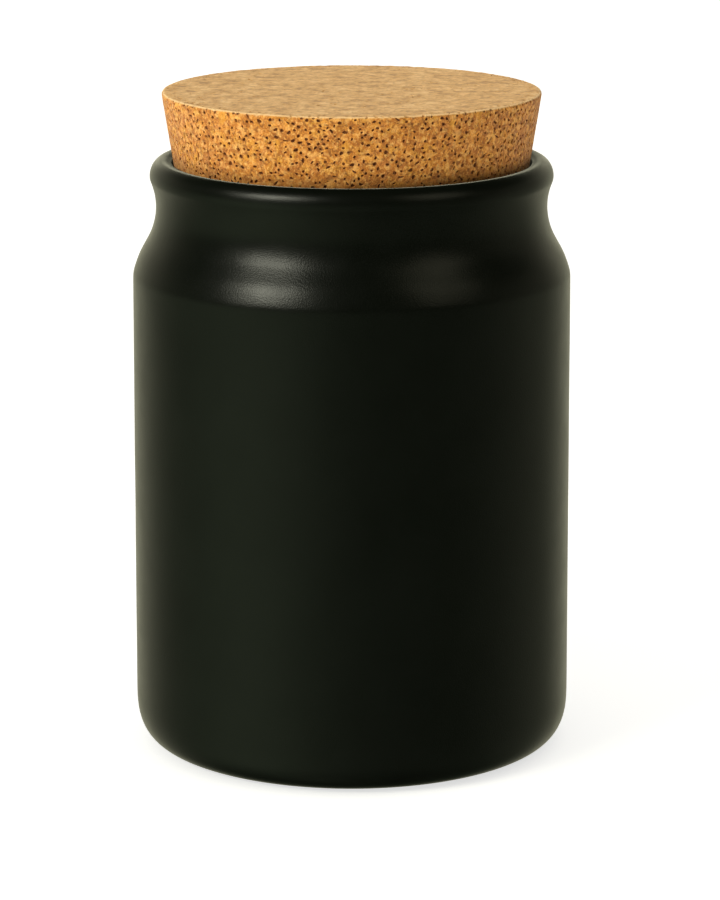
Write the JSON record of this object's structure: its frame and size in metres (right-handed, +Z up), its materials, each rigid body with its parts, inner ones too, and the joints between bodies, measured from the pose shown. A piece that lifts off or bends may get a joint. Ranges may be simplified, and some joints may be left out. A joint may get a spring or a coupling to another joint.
{
  "type": "ceramic spice jar",
  "caption": "Straight-sided ceramic spice jar with a waisted neck and rolled lip, closed by a tapered cork stopper that lifts out.",
  "frame": {"origin": "on the jar's axis, in the plane of the foot ring that it stands on", "axes": "+Z up along the jar's axis, towards the stopper; the object is round, so X and Y are any two directions across it"},
  "size_m": [0.0704, 0.0704, 0.1064],
  "materials": {
    "satin_glaze": "satin",
    "cork": "matte"
  },
  "bodies": {
    "jar": {"jar_body": "satin_glaze"},
    "stopper": {"cork_stopper": "cork"}
  },
  "joints": [
    {"name": "cork_lift", "type": "slide", "parent": "jar", "child": "stopper", "axis": [0, 0, 1], "range_m": [0, 0.045]}
  ]
}
